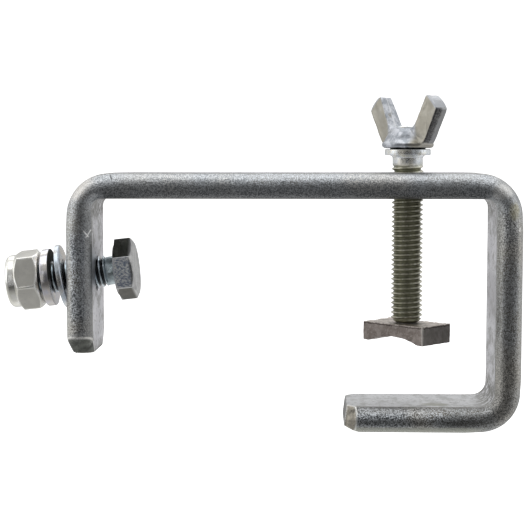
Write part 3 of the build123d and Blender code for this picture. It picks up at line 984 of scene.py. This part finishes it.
def nut_material():
    """Bright plated nut: dull flats framed by painted edge highlights, with a shining collar."""
    n = Nodes("nut_zinc")
    height = NUT_HEIGHT[0]
    # Painted highlights along the edges of the hexagon's flats.
    edge_highlight = n.hex_frame([(height, 1.0, NUT_COLLAR), (0.0, -1.0, HEX_FACE_RADIUS)], NUT_CHAMFER, 0.42)
    collar = n.ramp(n.axis(2), height - 0.1, height + 0.2)
    blotches = n.ramp(n.noise(4.0, 3.0, 0.55), 0.38, 0.64)
    scuffs = n.ramp(n.noise(0.8, 3.0, 0.7, offset=5.0), 0.60, 0.72)
    grain = n.noise(0.3, 2.0, 0.6, offset=3.0)
    colour = n.mix(blotches, (0.63, 0.62, 0.575), (0.565, 0.555, 0.515))
    colour = n.mix(scuffs, colour, (0.48, 0.475, 0.45))
    bright = n.mix(blotches, (0.98, 0.98, 0.95), (0.88, 0.87, 0.80))
    shine = n.most(edge_highlight, collar)
    n.bump(grain, 0.012)
    rough = grain * 0.12 + (0.24 - shine * 0.1)
    return n.finish(n.mix(shine, colour, bright), rough)


def bolt_material():
    """Dark plated bolt whose head flats carry painted reflections: a streaky bright front flat with a
    painted glint, dark upper and lower flats, a grey end face and painted highlights along the edges; its
    thread has painted shade in the roots and painted highlights on the crests.
    """
    n = Nodes("blue_zinc_bolt")
    x, y, z = n.axes()
    head = n.ramp(z, BOLT_BEARING - 0.3, BOLT_BEARING + 0.3)
    corner = ACROSS_FLATS / 2 / math.sqrt(3)
    upper, lower = n.ramp(x, corner - 0.25, corner + 0.15), n.ramp(x, 0.25 - corner, -0.15 - corner)
    face = n.ramp(z, BOLT_SPAN[1] - 1.6, BOLT_SPAN[1] - 0.2)
    streaks = n.ramp(n.noise(0.62, 4.0, 0.68, stretch=(1.3, 1.0, 0.8)), 0.41, 0.61)
    clouds = n.ramp(n.noise(3.2, 3.0, 0.6, offset=3.0), 0.4, 0.62)
    radius = n.root(x * x + y * y)
    crest = n.ramp(radius, THREAD_ROOT + 0.25, THREAD_RADIUS - 0.12)
    plain = n.ramp(z, BOLT_THREAD_END - 1.2, BOLT_THREAD_END - 0.2)
    # Painted shade in the thread's roots and painted highlights on its crests.
    shank = n.mix(crest, (0.05, 0.055, 0.06), (0.80, 0.88, 0.93))
    shank = n.mix(plain, shank, n.mix(clouds, (0.34, 0.41, 0.43), (0.52, 0.60, 0.63)))
    # Painted reflection on the head: the front flat streaky and bright, with a painted glint.
    middle = n.mix(streaks, (0.33, 0.38, 0.49), (0.98, 1.0, 1.0))
    glint = n.ramp(abs(x - 4.1), 0.55, 0.2)
    middle = n.mix(glint * streaks, middle, (1.0, 1.0, 1.0))
    # Painted reflections on the head: the upper and lower flats dark.
    dull = n.mix(clouds, (0.075, 0.08, 0.068), (0.115, 0.12, 0.105))
    olive = n.mix(clouds, (0.040, 0.039, 0.028), (0.066, 0.062, 0.048))
    tint = n.mix(lower, n.mix(upper, middle, dull), olive)
    # Painted highlights along the head's edges, weaker on the upper and lower flats.
    cones = [(BOLT_SPAN[1], 1.0, HEX_FACE_RADIUS), (BOLT_BEARING + 0.3, -1.0, ACROSS_FLATS / 2)]
    frame_part = n.hex_frame(cones, BOLT_CHAMFER, 0.26)
    hidden = n.most(upper * 0.9, lower * 0.6)
    tint = n.mix(frame_part * (0.9 - hidden), tint, (0.95, 0.96, 0.97))
    # Painted reflection on the head's end face: grey clouds.
    tint = n.mix(face, tint, n.mix(clouds, (0.42, 0.42, 0.42), (0.58, 0.58, 0.57)))
    grain = n.noise(0.35, 3.0, 0.6, offset=3.0)
    flank = head * (1.0 - n.most(n.most(upper, lower), face))
    n.bump(grain * (flank * 0.9 + 0.1), 0.16)
    rough = grain * 0.15 + (flank * 0.2 + 0.12)
    return n.finish(n.mix(head, shank, tint), rough)


def screw_material():
    """Olive passivated thread with painted shade in its roots, roots lighter in the middle as painted
    light, crests darker on the left as painted shade, painted glints and oil patches, and a brighter turned
    collar with a painted shadow and oil under the head.
    """
    n = Nodes("yellow_zinc_screw")
    x, y, z = n.axes()
    radius = n.root(x * x + y * y)
    crest = n.ramp(radius, THREAD_ROOT + 0.16, THREAD_RADIUS - 0.12)
    above = n.ramp(z, SCREW_NECK[0] - 1.0, SCREW_NECK[0] + 1.0)
    blotches = n.ramp(n.noise(4.0, 4.0, 0.6, offset=1.0), 0.4, 0.62)
    # Painted glints on the thread.
    glints = n.ramp(n.noise(0.7, 3.0, 0.7, offset=5.0), 0.5, 0.66)
    thread = n.mix(blotches, (0.66, 0.66, 0.54), (0.80, 0.78, 0.68))
    thread = n.mix(glints, thread, (0.98, 0.98, 0.92))
    grime = n.ramp(n.noise(1.3, 4.0, 0.7, stretch=(1, 1, 0.7), offset=17.0), 0.44, 0.60)
    thread = n.mix(grime * 0.55, thread, (0.3, 0.29, 0.22))
    # Painted shade in the thread's roots, lighter in the middle as painted light.
    front = n.ramp(abs(x + 0.2), 3.4, 0.6)
    root = n.mix(front, (0.18, 0.18, 0.12), (0.33, 0.33, 0.24))
    # Painted shade: the crests darker on the left.
    left = n.ramp(x, -1.6, -3.8, 0.0, 0.5)
    thread = n.mix(crest, root, n.mix(left, thread, (0.30, 0.29, 0.21)))
    upper = n.mix(blotches, (0.76, 0.80, 0.83), (0.84, 0.82, 0.74))
    streak = n.ramp(n.noise(0.9, 3.0, 0.6, stretch=(1, 1, 0.4), offset=8.0), 0.55, 0.7)
    upper = n.mix(streak * 0.6, upper, (0.38, 0.37, 0.3))
    # Painted shadow with oil in the gap under the head.
    under_head = n.ramp(z, SCREW_COLLAR[1] - 0.12, SCREW_COLLAR[1] - 0.02)
    upper = n.mix(under_head * n.ramp(radius, 4.2, 4.8), upper, (0.03, 0.03, 0.028))
    grain = n.noise(0.3, 2.0, 0.6, stretch=(1, 1, 3))
    n.bump(grain, 0.02)
    rough = 0.24 - above * 0.04
    return n.finish(n.mix(above, thread, upper), grain * 0.12 + rough)


def head_material():
    """Warm satin casting with a painted bluish highlight on the boss and on the wings' inner edges, a
    painted highlight along the parting ridge, wing ends lighter as painted light, and a dark, grainy outer
    edge face on one wing.
    """
    n = Nodes("cast_zinc_head")
    x, y, z = n.turned_axes(WING_TURN)
    out = abs(x)
    blotches = n.ramp(n.noise(5.0, 4.0, 0.6), 0.4, 0.66)
    patches = n.ramp(n.noise(2.2, 4.0, 0.65, offset=23.0), 0.42, 0.6)
    stains = n.ramp(n.noise(2.2, 4.0, 0.7, offset=8.0), 0.60, 0.72)
    grain = n.noise(0.5, 3.0, 0.6, offset=3.0)
    centre = n.ramp(out, 6.8, 5.2)
    # Painted bluish highlight for the boss and the wings' inner edges.
    painted_bluish_highlight = n.mix(patches, (0.37, 0.395, 0.43), (0.62, 0.64, 0.68))
    slope, height = WING_CAP
    # Painted light: the wings' end faces lighter.
    cap = n.ramp(z + out * slope, height, height + 0.5)
    rise, reach, offset = WING_INNER
    inner_edge = n.ramp(z * rise - out * reach, offset, offset + 0.25)
    # Painted highlight along the parting ridge of the inner edges.
    parting_ridge_highlight = n.ramp(abs(y), 0.32, 0.12)
    reach, rise, offset = WING_OUTER
    outer = n.ramp(x * reach - z * rise, offset, offset + 0.3)
    patchy = n.ramp(y + n.noise(2.0, 4.0, 0.6, offset=19.0) * 2.6, 1.9, 0.7)
    # Dark grain on one wing's outer edge face.
    dark_grain = n.mix(n.ramp(grain, 0.42, 0.66), (0.055, 0.055, 0.06), (0.20, 0.20, 0.20))
    ring = n.ramp(z, 82.0, 81.2) * n.ramp(n.noise(2.8, 3.0, offset=11.0), 0.45, 0.62)
    colour = n.layers(
        n.mix(blotches, (0.40, 0.38, 0.325), (0.47, 0.455, 0.405)),
        (centre, painted_bluish_highlight),
        (cap, (0.46, 0.475, 0.50)),
        (inner_edge, n.mix(parting_ridge_highlight * 0.5, painted_bluish_highlight, (0.80, 0.81, 0.82))),
        (outer * 0.95, n.mix(patchy, (0.33, 0.335, 0.34), dark_grain)),
        (ring * 0.2, (0.22, 0.22, 0.21)),
        (stains, (0.32, 0.30, 0.255)))
    n.bump(grain, 0.03)
    return n.finish(colour, grain * 0.2 + centre * 0.05 + 0.24)


def pad_material():
    """Bare sawn steel, brown-grey, with saw marks, a bright burr and a worn corner; its +X end face darker
    as painted shade and its top face lighter as painted light.
    """
    n = Nodes("raw_steel_pad")
    x, y, z = n.turned_axes(PAD_TURN)
    (length, breadth), height = PAD_SIZE, PAD_HIGH[2]
    blotches = n.ramp(n.noise(2.2, 4.0, 0.65), 0.38, 0.64)
    marks = n.noise(0.45, 3.0, 0.6, stretch=(1.0, 1.0, 0.3), offset=2.0)
    specks = n.ramp(n.noise(0.55, 3.0, 0.7, offset=5.0), 0.56, 0.70)
    # Painted shade on the +X end face; painted light on the top face.
    end = n.ramp(x, length / 2 - 0.5, length / 2 - 0.15)
    top = n.ramp(z, height - 0.45, height - 0.15)
    line = height - z + n.noise(1.0, 3.0, 0.7, offset=6.0) * 1.4
    dark_line = n.ramp(line, 0.9, 1.1) * n.ramp(line, 1.25, 1.5, 1.0, 0.0)
    far_corner = (length + breadth) / 2
    worn = n.ramp(x - y, far_corner - 0.75, far_corner - 0.35)
    colour = n.layers(
        n.mix(blotches, (0.25, 0.215, 0.195), (0.38, 0.335, 0.31)),
        (specks * 0.7, (0.60, 0.55, 0.51)),
        (end, n.mix(blotches, (0.21, 0.195, 0.18), (0.27, 0.25, 0.235))),
        (top, n.mix(blotches, (0.47, 0.42, 0.38), (0.60, 0.55, 0.50))),
        (dark_line * 0.8, (0.06, 0.05, 0.045)),
        (n.ramp(line, 0.85, 0.65) * 0.6, (0.62, 0.57, 0.52)),
        (worn * 0.8, (0.72, 0.68, 0.64)))
    n.bump(marks, 0.06)
    return n.finish(colour, marks * 0.2 + 0.34, 0.9)


def nylon_material():
    """Moulded nylon ring."""
    n = Nodes("nylon")
    grain = n.noise(0.5, 3.0)
    n.bump(grain, 0.03)
    return n.finish(n.mix(grain, (0.09, 0.14, 0.3), (0.14, 0.2, 0.38)), grain * 0.2 + 0.4, 0.0)


# ---------------------------------------------------------------- stage

CAMERA_PLACE = (-28.83, -434.51, 78.69)
CAMERA_PITCH = 4.717         # degrees below level
CAMERA_YAW = -2.075          # degrees towards +X
CAMERA_LENS = 94.01


def make_camera():
    """Camera in front of the clamp, a little above its arm and looking slightly down."""
    camera = bpy.data.objects.new("camera", bpy.data.cameras.new("camera"))
    camera.data.lens = CAMERA_LENS
    camera.data.sensor_width = 36.0
    camera.data.clip_start = 0.01
    camera.data.clip_end = 20.0
    pitch, yaw = math.radians(CAMERA_PITCH), math.radians(CAMERA_YAW)
    forward = Vector((math.sin(yaw) * math.cos(pitch), math.cos(yaw) * math.cos(pitch), -math.sin(pitch)))
    camera.location = Vector(CAMERA_PLACE) * MM
    camera.rotation_euler = forward.to_track_quat("-Z", "Y").to_euler()
    bpy.context.scene.collection.objects.link(camera)
    bpy.context.scene.camera = camera


def softbox(name, place, target, width, height, radiance):
    """Rectangular area light of a given brightness, facing a point; metres."""
    light = bpy.data.lights.new(name, "AREA")
    light.shape = "RECTANGLE"
    light.size, light.size_y = width, height
    light.energy = radiance * math.pi * width * height
    lamp = bpy.data.objects.new(name, light)
    lamp.location = place
    lamp.rotation_euler = (Vector(target) - Vector(place)).to_track_quat("-Z", "Y").to_euler()
    bpy.context.scene.collection.objects.link(lamp)


def make_world():
    """Surround: dark in front, brighter behind, above, below and at the sides; white to the camera."""
    n = Nodes("studio", "worlds")
    bpy.context.scene.world = n.block
    n.tree.nodes.remove(n.tree.nodes["Background"])
    x, y, z = (n.part(n.around, index) for index in range(3))
    above, below = n.ramp(z, 0.15, 0.75, 0.0, 0.45), n.ramp(z, -0.95, -0.35, 0.42, 0.0)
    side, behind = n.ramp(abs(x), 0.45, 0.95, 0.0, 0.40), n.ramp(y, -0.3, 0.7, 0.0, 0.58)
    surround = n.add("Background", "Background", {"Strength": above + side + behind + below + 0.11})
    white = n.add("Background", "Background", {"Color": (1, 1, 1)})
    to_camera = n.add("LightPath", "Is Camera Ray", {})
    chosen = n.add("MixShader", "Shader", {0: to_camera, 1: surround, 2: white})
    n.feed(chosen, n.tree.nodes["World Output"].inputs["Surface"])


def make_stage():
    """Pale floor that curves up into a backdrop, well clear of the hanging clamp."""
    floor_z, back_y, rise, reach = -0.30, 2.2, 2.5, 3.0
    profile = [(-2.5, floor_z)] + [
        (back_y - 0.6 + 0.6 * math.sin(a), floor_z + 0.6 - 0.6 * math.cos(a))
        for a in np.linspace(0, math.pi / 2, 12)
    ] + [(back_y, rise)]
    vertices = [(x / MM, y / MM, z / MM) for y, z in profile for x in (-reach, reach)]
    faces = [(2 * i, 2 * i + 1, 2 * i + 3, 2 * i + 2) for i in range(len(profile) - 1)]
    floor = add_object("floor", vertices, faces)
    n = Nodes("pale_floor")
    tone = n.noise(400.0, 2.0)
    n.finish(n.mix(tone, (0.93, 0.93, 0.93), (0.95, 0.95, 0.95)), n.ramp(tone, 0.0, 1.0, 0.8, 0.9), 0.0)
    n.feed((1, 1, 1), n.shader.inputs["Emission Color"])
    n.feed(1.0, n.shader.inputs["Emission Strength"])
    floor.data.materials.append(n.block)
    floor.visible_glossy = False
    floor.visible_diffuse = False


# ---------------------------------------------------------------- assembly

make_camera()
make_world()
make_stage()
softbox("overhead", (-0.03, -0.10, 0.62), (-0.03, 0.0, 0.05), 0.9, 0.45, 1.0)
softbox("left", (-0.75, -0.15, 0.25), (-0.03, 0.0, 0.05), 0.5, 0.6, 0.8)
softbox("right", (0.75, -0.1, 0.25), (-0.03, 0.0, 0.05), 0.5, 0.6, 0.6)
softbox("strip_left", (-0.32, -0.56, 0.12), (-0.02, 0.0, 0.05), 0.07, 0.5, 0.6)
softbox("strip_right", (0.25, -0.60, 0.12), (-0.02, 0.0, 0.05), 0.07, 0.5, 0.5)
softbox("behind", (-0.03, 0.50, 0.60), (-0.03, 0.0, 0.05), 0.9, 0.4, 0.7)
bpy.context.scene.view_settings.view_transform = "Standard"

# Base, blotch and speck tints, roughness, size of the blotches.
WASHER_LOOK = (0.64, 0.71, 0.78), (0.76, 0.71, 0.64), (0.48, 0.50, 0.52), 0.20, 5.0
SPRING_LOOK = (0.84, 0.80, 0.76), (0.74, 0.74, 0.82), (0.46, 0.43, 0.41), 0.13, 3.0
RIVET_LOOK = (0.34, 0.32, 0.30), (0.26, 0.24, 0.23), (0.48, 0.45, 0.42), 0.34, 2.0
WASHER_ZINC = fastener_material("washer_zinc", *WASHER_LOOK)
SPRING_ZINC = spring_material("spring_zinc", *SPRING_LOOK)

PIECES = [
    (make_bar, "clamp", "clamp_body", "zinc_bar", bar_material()),
    (make_screw, "screw", "clamp_screw", "yellow_zinc_screw", screw_material()),
    (make_head, "screw", "wing_head", "cast_zinc_head", head_material()),
    (make_pad, "pad", "pressure_pad", "raw_steel", pad_material()),
    (make_bolt, "bolt", "hex_bolt", "blue_zinc_bolt", bolt_material()),
    (make_plain_washer, "washer", "plain_washer", "washer_zinc", WASHER_ZINC),
    (make_spring_washer, "spring", "spring_washer", "spring_zinc", SPRING_ZINC),
    (make_nut, "nut", "lock_nut", "nut_zinc", nut_material()),
    (make_insert, "nut_travel", "nylon_insert", "nylon", nylon_material()),
]
for make, body, node, slot, material in PIECES:
    piece = make()
    piece.data.materials.clear()
    piece.data.materials.append(material)
    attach(piece, body)
    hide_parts(node)

rivet = frame["nodes"]["pad_rivet"]
rivet.material_slots[0].link = "OBJECT"
rivet.material_slots[0].material = fastener_material("rivet_steel", *RIVET_LOOK)
